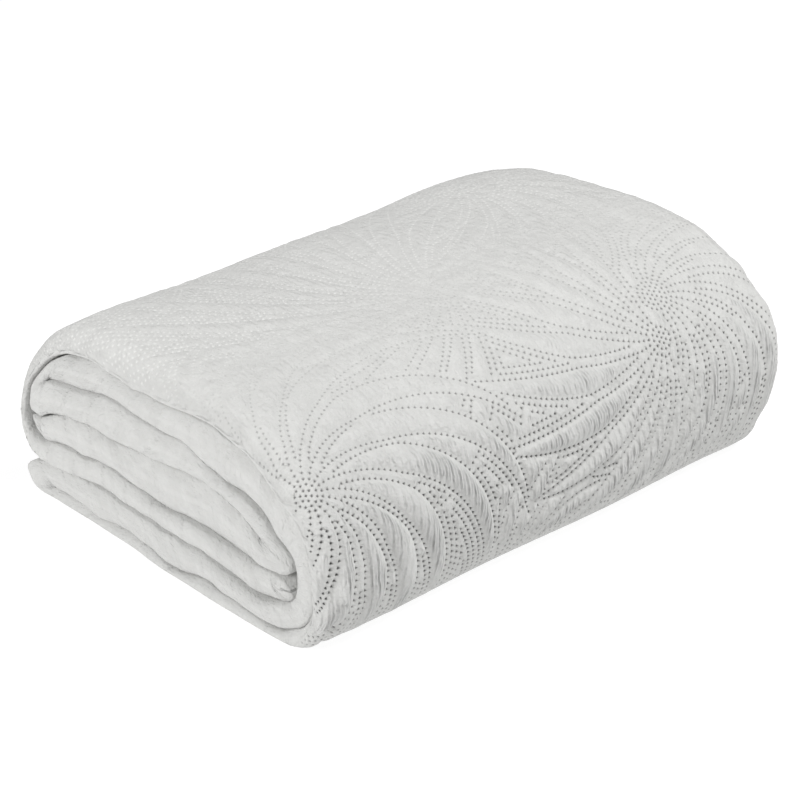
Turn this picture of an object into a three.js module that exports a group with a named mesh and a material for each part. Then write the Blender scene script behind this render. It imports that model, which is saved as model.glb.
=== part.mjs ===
// A quilted bedspread, folded for the shelf.
//
// The cloth has first been folded into a strip of several plies. The strip is
// then folded back and forth across its length and wrapped once around itself,
// so the bundle is one ribbon with a turn at each fold. The layers lie a little
// apart, in the order they have from the innermost end of the ribbon outwards.
//
// Millimetres, +Z up, the origin under the middle of the bundle. Y runs along
// the bundle, from the near end face (-Y) to the far one (+Y). X runs across it,
// with the wrapped front side at +X.

import * as THREE from 'three';

const LENGTH = 404; // along Y, over the middle of the rounded end faces
const HALF_WIDTH = 150;
const HEIGHT = 140; // of the near end
const GAP = 1.5; // air between two layers
const CREASE_ROWS = 14; // rows from one end of a crease to the other
const TURN_STEP = 9.5; // row spacing around a fold
const SKIN_STEP = 9.8; // row spacing on the quilted face that shows
const SKIN_STATIONS = 42; // points along Y on that face, rounded ends not counted
const INNER_STATIONS = 5; // points along Y on the inside faces
const NOSE_ANGLES = [14, 46, 78]; // degrees round the rounded edge, tip first
const NOSE_DEPTH = 7.5; // how far a layer rounds over at an end face
const SKIN_NOSE_DEPTH = 15; // and how far the top cover does on its outside
const NEAR_SWELL = 6; // the near end bulges by this low down at the front
const PUFF = 2.6; // height of a quilted leaf blade above its stitch lines

const CROWN = 0.112; // the far end stands this much higher than the near end
const FAR_SHOULDER = 0.055; // its front shoulder is fuller by this much more
const FAR_SLOPE = 0.13; // and its back shoulder drops by this much
const FAR_FRONT = [3, 13]; // the front side swells by this, at the foot and at the shoulder
const FAR_BACK = 3; // the back side swells by this
const END_DROOP = 0.022; // the top sinks by this share towards each end face
const DROOP_REACH = 38; // over this much of the length
const MERGE = 3.2; // two rows closer than this are one

const COVER = '#dcdcda';

// Lines of the near end face, x and z. A crease is the middle of the gap
// between two layers; its layers lie half a gap to either side.
const CREASE = {
  // under the top cover, from the back shoulder to the front one
  top: [
    [-92, 117], [-72, 122], [-47, 122], [-20, 118.5], [4, 117], [30, 119.5], [52, 120], [76, 114.5],
    [96, 108], [111, 99],
  ],
  // between the two upper layers, from the turn at the back
  upper: [
    [-114, 90.5], [-95, 94], [-74, 98], [-50, 101], [-25, 99], [0, 97.5], [25, 97.5], [50, 91.5],
    [75, 84.5], [95, 78], [109, 69.2],
  ],
  // between the two middle layers, to the turn at the front
  middle: [
    [-126, 58], [-110, 64.5], [-92, 71], [-70, 73.3], [-45, 73], [-15, 73], [15, 75.5], [42, 77],
    [65, 74.5], [84, 68], [97, 60.5],
  ],
  // over the lowest wrapped layer, from the back
  lower: [
    [-119, 43.6], [-103, 47], [-80, 47.6], [-57, 49], [-25, 46.5], [0, 43.2], [25, 43.6], [55, 45],
    [76, 40.8], [96, 36.6], [112, 35.5],
  ],
  // under it, from the notch at the back
  wrap: [
    [-126, 27.5], [-112, 28.8], [-95, 29.6], [-60, 30.4], [-30, 30], [0, 28], [25, 27], [50, 27.6],
    [75, 25.4], [95, 21], [110, 20.4], [122, 23.6],
  ],
  // over the bottom layer, to the turn at the back
  foot: [
    [-113, 9.4], [-97, 9.6], [-70, 8.2], [-38, 10], [-10, 8.4], [20, 6.6], [50, 10.5], [80, 9.8],
    [103, 8], [118, 8.4], [129, 11.6],
  ],
  // between the front side and the layer inside it, from the foot up
  front: [
    [129, 11.6], [138, 16], [144, 22.5], [147.6, 31], [149, 45], [147, 60], [143.5, 72], [137, 83],
    [125, 93], [111, 99],
  ],
};

const SKIN = {
  // outer faces, in the order in which the ribbon runs
  back: [
    [-126, 28.9], [-137.6, 30.6], [-144, 37], [-148, 46], [-149.6, 57], [-147.6, 70], [-142.4, 86.5],
    [-133, 103.2], [-118, 119.6], [-99, 131],
  ],
  cover: [
    [-99, 131], [-75, 136.8], [-44, 139.4], [-8, 139.6], [30, 139.4], [66, 137], [95, 130.8],
    [119, 119.5],
  ],
  front: [
    [119, 119.5], [138, 105], [151, 87.5], [157.5, 69], [160, 48], [159.4, 29], [153.5, 13],
    [143, 3.5], [128, 0],
  ],
  base: [[128, 0], [60, 0], [0, 0], [-60, 0], [-127, 0]],
  nose: [
    [-127, 0], [-136.5, 1.2], [-142.6, 5], [-144.4, 11], [-142, 17.5], [-136, 22.8], [-126, 26.2],
  ],
};

// Faces around the turns, where no crease guides them.
const TURN = {
  insideBack: [
    [-119, 42.9], [-130, 43.5], [-136.4, 51], [-138.4, 61], [-137, 72], [-132, 83], [-124, 93.5],
    [-110, 107], [-92.3, 117.7],
  ],
  upperBack: [
    [-91.7, 116.3], [-107, 105.6], [-120.5, 92.6], [-129, 81.5], [-134.4, 71], [-133.6, 62.5],
    [-126, 58.7],
  ],
  middleFront: [
    [109, 68.4], [117, 63.6], [122.4, 57], [124.6, 50], [123.6, 42.5], [119, 37.8], [112, 36.2],
  ],
  innerFront: [
    [122, 22.9], [127.4, 25.8], [131.6, 31.6], [133.4, 39], [131.8, 46.5], [128, 53.5],
    [123.4, 60], [117, 65.6], [109, 69.9],
  ],
};

// The two free ends of the ribbon: where each face rounds over.
const TIP = {
  lower: {
    outer: [[122.6, 28], [121.6, 25.6], [117, 23]],
    inner: [[122.8, 30.2], [121.8, 33], [117, 34.8]],
  },
  middle: {
    outer: [[-127, 45.3], [-132.4, 48.6], [-133.6, 51]],
    inner: [[-127, 57], [-132.6, 55.6], [-133.8, 53.2]],
  },
};

// Palm leaves quilted into the face that shows. u runs up the front side from
// its foot and on over the top, v along Y; axis, spread and curl in degrees.
const PALMS = [
  { u: 172, v: -196, axis: 78, spread: 236, blades: 15, reach: 205, curl: -30 },
  { u: 238, v: 128, axis: 262, spread: 250, blades: 14, reach: 150, curl: 24 },
  { u: 70, v: 60, axis: 70, spread: 200, blades: 11, reach: 170, curl: -20 },
  { u: 430, v: -40, axis: 105, spread: 270, blades: 15, reach: 178, curl: -22 },
];
const BLADE_WIDTH = 25;
const HUB = 9; // blades start this far from the middle of their leaf

const radians = THREE.MathUtils.degToRad;
const lerp = THREE.MathUtils.lerp;
const smooth = THREE.MathUtils.smoothstep;

// Even points along a smooth curve through x, z pairs.
function trace(pairs, count) {
  const points = pairs.map(([x, z]) => new THREE.Vector3(x, 0, z));
  const curve = new THREE.CatmullRomCurve3(points, false, 'centripetal');
  return curve.getSpacedPoints(count).map((p) => new THREE.Vector2(p.x, p.z));
}

function rowsFor(pairs, step) {
  const steps = pairs.slice(1).map(([x, z], i) => Math.hypot(x - pairs[i][0], z - pairs[i][1]));
  const length = steps.reduce((sum, each) => sum + each, 0);
  return Math.max(2, Math.round(length / step));
}

// A traced line moved sideways, to its left when the shift is positive.
function beside(points, shift) {
  return points.map((p, i) => {
    const before = points[Math.max(i - 1, 0)];
    const after = points[Math.min(i + 1, points.length - 1)];
    const along = after.clone().sub(before).normalize();
    return new THREE.Vector2(p.x - along.y * shift, p.y + along.x * shift);
  });
}

// The inside of a tight turn: a small half circle around the end of a crease,
// anticlockwise when turn is 1 and clockwise when it is -1.
function aroundTip(from, to, count, turn) {
  const centre = from.clone().add(to).multiplyScalar(0.5);
  const start = from.clone().sub(centre);
  return Array.from({ length: count + 1 }, (_, i) =>
    start.clone().rotateAround(new THREE.Vector2(), (turn * Math.PI * i) / count).add(centre));
}

function last(list) {
  return list[list.length - 1];
}

// Both sides of a crease, each with its points from the back to the front.
function sidesOf(pairs) {
  const line = trace(pairs, CREASE_ROWS);
  return { above: beside(line, GAP / 2), below: beside(line, -GAP / 2) };
}

// Every layer of the ribbon in order: `outer` is the face that shows on the top
// cover, `inner` the other one, with as many points.
function ribbonLayers() {
  const top = sidesOf(CREASE.top);
  const upper = sidesOf(CREASE.upper);
  const middle = sidesOf(CREASE.middle);
  const lower = sidesOf(CREASE.lower);
  const wrap = sidesOf(CREASE.wrap);
  const foot = sidesOf(CREASE.foot);
  const reversed = (line) => [...line].reverse();

  const back = rowsFor(SKIN.back, SKIN_STEP);
  const cover = rowsFor(SKIN.cover, SKIN_STEP);
  const front = rowsFor(SKIN.front, SKIN_STEP);
  const nose = rowsFor(SKIN.nose, TURN_STEP);
  const rise = rowsFor(TURN.innerFront, TURN_STEP);
  const backTurn = rowsFor(TURN.upperBack, TURN_STEP);
  const frontTurn = rowsFor(TURN.middleFront, TURN_STEP);
  const frontAbove = (count) => beside(trace(CREASE.front, count), GAP / 2);
  const frontBelow = (count) => beside(trace(CREASE.front, count), -GAP / 2);
  const coverBelow = beside(trace(CREASE.top, cover), GAP / 2);

  return [
    { outer: trace(TIP.lower.outer, 2), inner: trace(TIP.lower.inner, 2) },
    { outer: reversed(wrap.above).slice(1), inner: reversed(lower.below).slice(1) },
    { outer: trace(SKIN.back, back), inner: trace(TURN.insideBack, back), skin: true },
    { outer: trace(SKIN.cover, cover), inner: coverBelow, skin: true },
    { outer: trace(SKIN.front, front), inner: reversed(frontBelow(front)), skin: true },
    { outer: trace(SKIN.base, CREASE_ROWS), inner: reversed(foot.below) },
    { outer: trace(SKIN.nose, nose), inner: aroundTip(foot.below[0], foot.above[0], nose, -1) },
    { outer: wrap.below, inner: foot.above },
    { outer: trace(TURN.innerFront, rise), inner: frontAbove(rise) },
    { outer: reversed(upper.above), inner: reversed(top.below) },
    {
      outer: aroundTip(upper.above[0], upper.below[0], backTurn, 1),
      inner: trace(TURN.upperBack, backTurn),
    },
    { outer: upper.below, inner: middle.above },
    {
      outer: trace(TURN.middleFront, frontTurn),
      inner: aroundTip(last(middle.above), last(middle.below), frontTurn, -1),
    },
    { outer: reversed(lower.above), inner: reversed(middle.below) },
    { outer: trace(TIP.middle.outer, 2), inner: trace(TIP.middle.inner, 2) },
  ];
}

// The layers joined into one run of rows. s is the distance along the ribbon,
// u the distance up the quilted face from the foot of the front side.
function ribbonRows() {
  const rows = [];
  for (const { outer, inner, skin = false } of ribbonLayers()) {
    outer.forEach((point, i) => {
      const row = { outer: point.clone(), inner: inner[i].clone(), skin };
      row.middle = row.outer.clone().add(row.inner).multiplyScalar(0.5);
      const end = last(rows);
      const step = end ? end.outer.distanceTo(row.outer) + end.inner.distanceTo(row.inner) : Infinity;
      if (step < MERGE) {
        end.skin = end.skin || skin;
      } else {
        row.s = end ? end.s + end.middle.distanceTo(row.middle) : 0;
        rows.push(row);
      }
    });
  }
  const skin = rows.filter((row) => row.skin).reverse();
  skin.forEach((row, i) => {
    row.u = i === 0 ? 0 : skin[i - 1].u + skin[i - 1].outer.distanceTo(row.outer);
  });
  return rows;
}

// How the section changes from the near end (along = 0) to the far one (1).
function settle(point, y) {
  const along = y / LENGTH + 0.5;
  const side = point.x / HALF_WIDTH;
  const height = point.y / HEIGHT;
  const front = Math.max(side, 0);
  const back = Math.max(-side, 0);
  const rise = CROWN + FAR_SHOULDER * smooth(side, -0.1, 0.7) - FAR_SLOPE * back ** 1.5;
  const swell = lerp(...FAR_FRONT, smooth(height, 0.05, 0.6)) * front ** 2 - FAR_BACK * back ** 2;
  const sway = 1.1 * Math.sin(y / 33 + height * 2.4) * side;
  const droop = END_DROOP * (1 - smooth(LENGTH / 2 - Math.abs(y), 0, DROOP_REACH)) * height;
  const dips = 1.2 * Math.sin(y / 41 + side * 2.1) * height + 0.9 * Math.sin(y / 23 - side * 3.3);
  const sag = dips * height * Math.min(1, height * 5);
  return new THREE.Vector3(
    point.x + along * swell + sway,
    y,
    Math.max(0, point.y * (1 + along * rise) * (1 - droop) + sag),
  );
}

// Share of a leaf blade's height at a point of the quilted face, 0 to 1.
function bladeHeight(u, v) {
  for (const palm of PALMS) {
    const reach = Math.hypot(u - palm.u, v - palm.v);
    const bearing = Math.atan2(v - palm.v, u - palm.u);
    let best = 0;
    let covered = false;
    for (let i = 0; i < palm.blades; i += 1) {
      const fan = (i / (palm.blades - 1)) * 2 - 1;
      const tip = palm.reach * (1 - 0.28 * fan * fan);
      const t = (reach - HUB) / (tip - HUB);
      if (t <= 0 || t >= 1) continue;
      const bend = palm.curl * Math.sign(fan) * t ** 1.5 * (0.35 + 0.65 * Math.abs(fan));
      const middle = radians(palm.axis + (fan * palm.spread) / 2 + bend);
      const turn = Math.atan2(Math.sin(bearing - middle), Math.cos(bearing - middle));
      const room = reach * radians(palm.spread / (palm.blades - 1)) * 0.5;
      const half = Math.min(room, (BLADE_WIDTH / 2) * Math.sin(Math.PI * t ** 0.78) ** 0.85);
      const across = Math.abs(reach * turn) / half;
      if (across < 1) {
        covered = true;
        best = Math.max(best, Math.sqrt(1 - across * across) * Math.min(1, half / 7));
      }
    }
    if (covered) return best;
  }
  return 0.12;
}

// How far an end face stands from the middle: some layers lie a little proud.
function endOf(row, end) {
  const uneven = 1.3 * Math.sin(row.s / 74 + end * 1.7) + 0.9 * Math.sin(row.s / 31 + end * 0.6);
  const bulge = 0.45 + 0.55 * Math.exp(-((row.middle.x - 75) ** 2) / 4200);
  const low = bulge * Math.exp(-(row.middle.y ** 2) / 2400);
  return LENGTH / 2 + uneven + (end < 0 ? NEAR_SWELL * low : 0);
}

// One row of the solid as points along Y, rounded over at both end faces.
function rowPoints(row, face, stations) {
  const own = row[face];
  const depth = face === 'outer' && row.skin
    ? SKIN_NOSE_DEPTH
    : Math.min(NOSE_DEPTH, own.distanceTo(row.middle) * 1.15);
  const nose = (end) => NOSE_ANGLES.map((angle) => ({
    y: end * (endOf(row, end) - depth * (1 - Math.cos(radians(angle)))),
    spread: Math.sin(radians(angle)),
  }));
  const near = nose(-1);
  const far = nose(1).reverse();
  const between = Array.from({ length: stations }, (_, k) => ({
    y: lerp(last(near).y, far[0].y, (k + 1) / (stations + 1)),
    spread: 1,
  }));
  return [...near, ...between, ...far].map(({ y, spread }) =>
    settle(row.middle.clone().lerp(own, spread), y));
}

// The quilting, raised outwards from the face that shows.
function raiseQuilting(rows, lines) {
  const skin = rows.map((row, i) => ({ row, line: lines[i] })).filter(({ row }) => row.skin);
  const total = skin[0].row.u;
  const raised = skin.map(({ row, line }, i) => {
    const before = skin[Math.max(i - 1, 0)].line;
    const after = skin[Math.min(i + 1, skin.length - 1)].line;
    return line.map((p, k) => {
      const along = after[k].clone().sub(before[k]);
      const normal = new THREE.Vector3(-along.z, 0, along.x).normalize();
      const fade = smooth(row.u, 14, 34) * smooth(total - row.u, 6, 30)
        * smooth(LENGTH / 2 - Math.abs(p.y), 1, 9);
      return normal.multiplyScalar(PUFF * bladeHeight(row.u, p.y) * fade).add(p);
    });
  });
  skin.forEach(({ line }, i) => line.forEach((p, k) => p.copy(raised[i][k])));
}

// Triangles between two rows of points, whichever counts they have.
function bridge(indices, a, b, points) {
  let i = 0;
  let j = 0;
  while (i < a.length - 1 || j < b.length - 1) {
    const stepA = i < a.length - 1 ? points[a[i + 1]].y : Infinity;
    const stepB = j < b.length - 1 ? points[b[j + 1]].y : Infinity;
    if (stepA <= stepB) {
      indices.push(a[i], b[j], a[i + 1]);
      i += 1;
    } else {
      indices.push(a[i], b[j], b[j + 1]);
      j += 1;
    }
  }
}

function bedspreadGeometry() {
  const rows = ribbonRows();
  const outer = rows.map((row) => rowPoints(row, 'outer', row.skin ? SKIN_STATIONS : INNER_STATIONS));
  const inner = rows.map((row) => rowPoints(row, 'inner', INNER_STATIONS));
  raiseQuilting(rows, outer);

  const points = [];
  const number = (line) => line.map((p) => points.push(p) - 1);
  const outerIds = outer.map(number);
  const innerIds = inner.map(number);
  const indices = [];
  const loop = [...outerIds, ...innerIds.reverse()];
  loop.forEach((line, i) => bridge(indices, line, loop[(i + 1) % loop.length], points));

  // the rounded edges close along the middle of the strip at both end faces
  innerIds.reverse();
  for (let i = 0; i < rows.length - 1; i += 1) {
    const corners = [outerIds[i], outerIds[i + 1], innerIds[i + 1], innerIds[i]];
    const near = corners.map((line) => line[0]);
    const far = corners.map(last);
    indices.push(near[0], near[2], near[1], near[0], near[3], near[2]);
    indices.push(far[0], far[1], far[2], far[0], far[2], far[3]);
  }

  const geometry = new THREE.BufferGeometry();
  const numbers = points.flatMap((p) => p.toArray());
  geometry.setAttribute('position', new THREE.Float32BufferAttribute(numbers, 3));
  geometry.setIndex(indices);
  geometry.computeBoundingBox();
  const { min, max } = geometry.boundingBox;
  geometry.translate(-(min.x + max.x) / 2, -(min.y + max.y) / 2, 0);
  geometry.computeVertexNormals();
  return geometry;
}

function makeBedspread() {
  const fabric = new THREE.MeshStandardMaterial({ color: COVER, roughness: 0.9, metalness: 0 });
  const mesh = new THREE.Mesh(bedspreadGeometry(), fabric);
  mesh.name = 'bedspread';
  return mesh;
}

const bundle = new THREE.Group();
bundle.name = 'folded_bedspread';
bundle.add(makeBedspread());

export default bundle;
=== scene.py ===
import math

import bmesh
import bpy
import numpy as np
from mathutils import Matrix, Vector, noise
from mathutils.geometry import delaunay_2d_cdt
from mathutils.kdtree import KDTree


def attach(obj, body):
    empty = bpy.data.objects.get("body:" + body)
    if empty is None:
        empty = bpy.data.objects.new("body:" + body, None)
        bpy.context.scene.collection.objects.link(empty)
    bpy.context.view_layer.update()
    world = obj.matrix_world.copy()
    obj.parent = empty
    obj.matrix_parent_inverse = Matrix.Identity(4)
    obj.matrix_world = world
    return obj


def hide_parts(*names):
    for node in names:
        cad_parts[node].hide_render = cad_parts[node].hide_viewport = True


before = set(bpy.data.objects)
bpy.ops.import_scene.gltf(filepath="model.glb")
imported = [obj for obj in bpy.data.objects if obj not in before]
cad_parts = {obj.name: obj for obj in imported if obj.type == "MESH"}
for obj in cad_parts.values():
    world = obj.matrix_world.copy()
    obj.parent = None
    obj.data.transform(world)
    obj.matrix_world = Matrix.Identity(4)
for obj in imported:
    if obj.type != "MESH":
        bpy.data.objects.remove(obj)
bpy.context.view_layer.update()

# Sizes, in millimetres.
# The section and its change along Y are the solid's, but for the folds inside the
# near right corner, which lie up to 7 mm from the solid's.
LENGTH = 404.0  # along Y, over the middle of the rounded end faces
HALF_WIDTH = 150.0
HEIGHT = 140.0  # of the near end
MIDDLE = (9.45, -2.34)  # middle of the bundle's box, in the section's own x and y
GAP = 0.3  # air between two layers, the filled cloth swelling into the solid's gaps
CROWN = 0.112  # the far end stands this much higher than the near end
FAR_SHOULDER = 0.055  # its front shoulder rises by this share more
FAR_SLOPE = 0.13  # and its back by this share less
FAR_FRONT = (3.0, 13.0)  # how far its front side stands out, at its foot and higher up
FAR_BACK = 3.0  # and how far its back does
END_DROOP = 0.022  # share of the height by which the cloth sinks towards both ends
DROOP_REACH = 38.0  # over this distance
NEAR_SWELL = 6.0  # the lower layers bulge this far out of the near end face
SWELL_AT = 75.0  # most of all at this x
NOSE_DEPTH = 2.8  # how far a layer rounds over at an end face, on average
COVER_NOSE_DEPTH = 15.0  # and how far the top cover does on its outside
NOSE_BLUNT = 0.66  # power of the sine that rounds a layer's edge; 1 is a round edge
NOSE_TURN = 53.0  # degrees that an edge turns before it meets its neighbour
COVER_SHARE = 0.82  # the quilted face wraps this far over the thickness of its own layer
COVER_BLUNT = 0.9  # the same power for the edge of the top cover
NOSE_SHARES = (0.03, 0.11, 0.21, 0.33, 0.46, 0.61, 0.79, 1.0)  # of that turn, tip first
INNER_STATIONS = 5  # points along Y between the rounded ends
ROW_STEP = 5.0  # spacing of the rows that run along Y
WRINKLE = 1.9  # how far soft wrinkles push the layers about at the end faces
WRINKLE_SIZE = 34.0
WRINKLE_REACH = 60.0  # they fade out this far from the end faces
WRINKLE_SEED = 5  # without one, noise_vector differs from run to run
BAND_PUFF = 1.3  # and how uneven the filling leaves each folded edge

# Near end face: x, z of each line.
CREASE = {
    "top": [(-92, 117), (-72, 122), (-47, 122), (-20, 118.5), (4, 117), (30, 119.5), (52, 120),
            (76, 114.5), (96, 108), (111, 99)],
    "upper": [(-114, 90.5), (-95, 94), (-74, 98), (-50, 101), (-25, 99), (0, 97.5), (25, 97.5),
              (50, 91.5), (75, 84.5), (95, 78), (109, 69.2)],
    "middle": [(-126, 58), (-110, 64.5), (-92, 71), (-70, 73.3), (-45, 73), (-15, 73), (15, 75.5),
               (42, 77), (65, 74.5), (84, 68), (97, 60.5)],
    "lower": [(-119, 43.6), (-103, 47), (-80, 47.6), (-57, 49), (-25, 46.5), (0, 43.2), (25, 43.6),
              (55, 45), (76, 42.4), (96, 41.2), (112, 42.2)],
    "wrap": [(-126, 27.5), (-112, 28.8), (-95, 29.6), (-60, 30.4), (-30, 30), (0, 28), (25, 27),
             (50, 27.6), (75, 25.6), (95, 22.8), (110, 23.8), (122, 27.8)],
    "foot": [(-113, 9.4), (-97, 9.6), (-70, 8.2), (-38, 10), (-10, 8.4), (20, 6.6), (50, 10.5),
             (80, 9.8), (103, 8), (118, 8.4), (129, 11.6)],
    "front": [(129, 11.6), (138, 16), (144, 22.5), (147.6, 31), (149, 45), (147, 60), (143.5, 72),
              (137, 83), (125, 93), (111, 99)],
}
SKIN = {
    "back": [(-126, 28.9), (-137.6, 30.6), (-144, 37), (-148, 46), (-149.6, 57), (-147.6, 70),
             (-142.4, 86.5), (-133, 103.2), (-118, 119.6), (-99, 131)],
    "cover": [(-99, 131), (-75, 136.8), (-44, 139.4), (-8, 139.6), (30, 139.4), (66, 137),
              (95, 130.8), (119, 119.5)],
    "front": [(119, 119.5), (138, 105), (151, 87.5), (157.5, 69), (160, 48), (159.4, 29),
              (153.5, 13), (143, 3.5), (128, 0)],
    "base": [(128, 0), (60, 0), (0, 0), (-60, 0), (-127, 0)],
    "nose": [(-127, 0), (-136.5, 1.2), (-142.6, 5), (-144.4, 11), (-142, 17.5), (-136, 22.8),
             (-126, 26.2)],
}
TURN = {
    "inside_back": [(-119, 42.9), (-130, 43.5), (-136.4, 51), (-138.4, 61), (-137, 72), (-132, 83),
                    (-124, 93.5), (-110, 107), (-92.3, 117.7)],
    "upper_back": [(-91.9, 116.8), (-108.6, 106.3), (-122.5, 93.1), (-130.8, 82.3), (-136, 71.4),
                   (-136.2, 61.8), (-126, 58.2)],
    "middle_front": [(109, 68.4), (117.6, 64), (123.6, 58.4), (126.4, 52.4), (125.6, 47.4),
                     (120.4, 44.2), (112, 42.9)],
    "inner_front": [(122, 27.1), (127.8, 29.8), (131.8, 35.4), (133.4, 42.4), (132.2, 49.4),
                    (129, 55.4), (124.2, 61), (117.4, 66), (109, 69.9)],
}
TIP_REACH = {"lower": 14.0, "middle": -12.0}  # how far the two free ends run on along x
TIP_ANGLES = (0.4, 5, 14, 26, 42, 60, 78)  # of the rows round a free end, in degrees
TIP_BLUNT = 0.5  # power of the sine that rounds it
TIP_LIFT = 1.6  # rise of a free end's very edge
ACROSS = 48  # rows across the width of a layer
# Where two layers part a little: share of the crease's length, width, reach.
SLITS = {
    "top": [(0.02, 1.8, 0.06)],
    "upper": [(0.05, 1.3, 0.05), (0.3, 0.8, 0.02)],
    "middle": [(0.04, 1.5, 0.05)],
    "lower": [(0.1, 1.1, 0.02), (0.2, 1.7, 0.025), (0.33, 1.5, 0.03)],
    "wrap": [(0.6, 0.8, 0.03), (0.95, 1.1, 0.05)],
    "foot": [(0.95, 1.9, 0.04)],
}

# Quilting of the face that shows. u runs up the front side from its foot and on
# over the top and down the back, v along Y. Angles in degrees from +u to +v.
PALMS = [
    dict(u=130, v=-196, axis=60, spread=270, blades=15, reach=176, swirl=54, width=19),
    dict(u=124, v=100, axis=262, spread=176, blades=11, reach=158, swirl=18, width=17),
    dict(u=150, v=112, axis=92, spread=150, blades=12, reach=182, swirl=66, width=13),
    dict(u=224, v=-8, axis=292, spread=190, blades=16, reach=250, swirl=22, width=15),
    dict(u=340, v=122, axis=240, spread=300, blades=19, reach=186, swirl=34, width=15),
    dict(u=436, v=-84, axis=330, spread=300, blades=18, reach=176, swirl=34, width=15),
    dict(u=4, v=-40, axis=52, spread=190, blades=11, reach=104, swirl=28, width=15),
    dict(u=2, v=150, axis=330, spread=200, blades=11, reach=112, swirl=28, width=15),
]
DOT_PITCH = 3.5  # least spacing along a row of dots; steps of TRACE_STEP make it 4.0
DOT_RADIUS = 0.85
DOT_DEPTH = 1.3  # of the pit that a weld makes
DOT_REACH = 0.6  # distance over which the pit fades
ROW_PITCH = 4.3  # between echo rows round a leaf
ROW_ROOM = 3.3  # an echo row's dot keeps this far from any other dot
BLADE_ROOM = 3.2  # and a blade's dot this far
ECHOES = 16  # there is one echo row fewer than this round a leaf
BLADE_GAP = 5.2  # between the rows of two neighbouring blades
ROW_START = 3.2  # blades start where their rows stand this far apart
HUB_RING = 3.4  # spacing of the rings of dots in the middle of a leaf
HUB_ROOM = 2.9  # and the room that each of them needs
CLOSE = 5.7  # two dots no further apart than this get a raised point between them
CLOSE_CLEAR, CLOSE_ROOM = 1.3, 0.9  # its distance from any dot and from the next such point
# Points beside a row: share of the row pitch, distance from any dot, room between them.
RIDGES = ((0.42, 1.2, 1.1), (0.95, 2.3, 2.1), (1.5, 2.3, 2.1))
SHORTEST = 14.0  # no shorter stretch of a blade's edge or an echo row is welded
TRACE_STEP = 0.8  # between the points of a line that dots are set along
FILL_PITCH = 3.9  # of the plain points between the rows
FILL_ROOM = 2.1  # and their distance from any dot or ridge
FILL_SEED = 7
PUFF = 7.6  # height of a wide blade above its rows
PUFF_RISE = 7.0  # distance over which the filling swells up from a row
TOP_PUFF = 0.24  # share of that height left where the cloth lies pulled flat on top
PULLED = (90, 190)  # u between which the cloth gets pulled flat
SHOULDER = (95, 160)  # u between which the front side turns over into the top
UNDULATION = 0.6  # height of the broad unevenness
RIM_WIDTH = 15.0  # from the near edge of the front side to the groove that sets off its rim
SEAM_DEPTH, SEAM_WIDTH = 2.6, 2.4  # of that groove

COVER_WHITE = "#d6d6d4"
COVER_SHADE = "#bebebc"
WELD_PAINTED_SHADE = "#5c5c5a"  # painted shade of a weld's pit, down the sides
WELD_PAINTED_HIGHLIGHT = "#dbdbd9"  # painted highlight of a weld on top
TABLE_GREY = "#808080"

# Of the cloth's pattern, in metres: size and height.
NAP, NAP_HEIGHT = 0.0013, 0.0008  # the brushed grain, drawn coarser than the real fibres
PUCKER, PUCKER_HEIGHT = 0.006, 0.0016
FINE_GATHER, GATHER_HEIGHT = 0.0046, 0.0021
CLOUD = 0.011  # unevenness of the brushed pile
EDGE_ROW_PITCH = 0.03  # rows of welds that cross the folded edges
WELD_SHADE_TO_HIGHLIGHT = (0.09, 0.27)  # u between which the welds' painted shade turns into painted highlight
WELD_SHADE_AGAIN = (0.42, 0.47)  # and back into painted shade, down the back
EDGE_DOT_TONE, EDGE_DOT_PIT = 0.04, -0.17  # how much those rows show in painted weld shade and highlight, and in relief

# The studio, in metres and watts: place, size and power of each light.
SOFT_BOXES = {
    "soft_box_above": ((1.12, 0.5, 2.1), (1.1, 1.1), 48),
    "soft_box_near_left": ((-0.4, -2.05, 0.9), (1.3, 0.9), 29),
}
LIGHT_AIM = (0, 0, 0.05)
WORLD_LIGHT = 0.28
TABLE_GLOW = 0.86

# The photo's camera, fitted to the bundle's outline.
AZIMUTH, ELEVATION = 47.116, 27.022  # degrees
DISTANCE = 1.72628  # metres
TARGET = (26.004, -18.187, 64.0)  # millimetres, in the section's own x and y
SENSOR_WIDTH, LENS = 36.0, 117.0  # millimetres


def linear(hex_colour):
    """sRGB hex to a linear RGBA colour."""
    parts = [int(hex_colour[i:i + 2], 16) / 255 for i in (1, 3, 5)]
    return tuple(c / 12.92 if c <= 0.04045 else ((c + 0.055) / 1.055) ** 2.4 for c in parts) + (1.0,)


def smooth(value, low, high):
    t = np.clip((value - low) / (high - low), 0, 1)
    return t * t * (3 - 2 * t)


# Lines of the section.
def resample(line, count):
    """count + 1 points evenly spaced along a polyline."""
    steps = np.linalg.norm(np.diff(line, axis=0), axis=1)
    run = np.concatenate([[0], np.cumsum(steps)])
    at = np.linspace(0, run[-1], count + 1)
    return np.stack([np.interp(at, run, line[:, k]) for k in range(line.shape[1])], 1)


def spline(pairs):
    """A dense centripetal curve through the pairs."""
    p = np.array(pairs, float)
    p = np.vstack([2 * p[0] - p[1], p, 2 * p[-1] - p[-2]])
    knots = np.concatenate([[0], np.cumsum(np.linalg.norm(np.diff(p, axis=0), axis=1) ** 0.5)])
    out = []
    for i in range(1, len(p) - 2):
        t = np.linspace(knots[i], knots[i + 1], 24, endpoint=i == len(p) - 3)[:, None]
        k = knots[i - 1:i + 3]
        a = [((k[j + 1] - t) * p[i - 1 + j] + (t - k[j]) * p[i + j]) / (k[j + 1] - k[j])
             for j in range(3)]
        b = [((k[j + 2] - t) * a[j] + (t - k[j]) * a[j + 1]) / (k[j + 2] - k[j]) for j in range(2)]
        out.append(((k[2] - t) * b[0] + (t - k[1]) * b[1]) / (k[2] - k[1]))
    return np.vstack(out)


def length_of(line):
    return np.linalg.norm(np.diff(line, axis=0), axis=1).sum()


def trace(pairs, count=None):
    line = spline(pairs)
    return resample(line, count or max(2, round(length_of(line) / ROW_STEP)))


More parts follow.
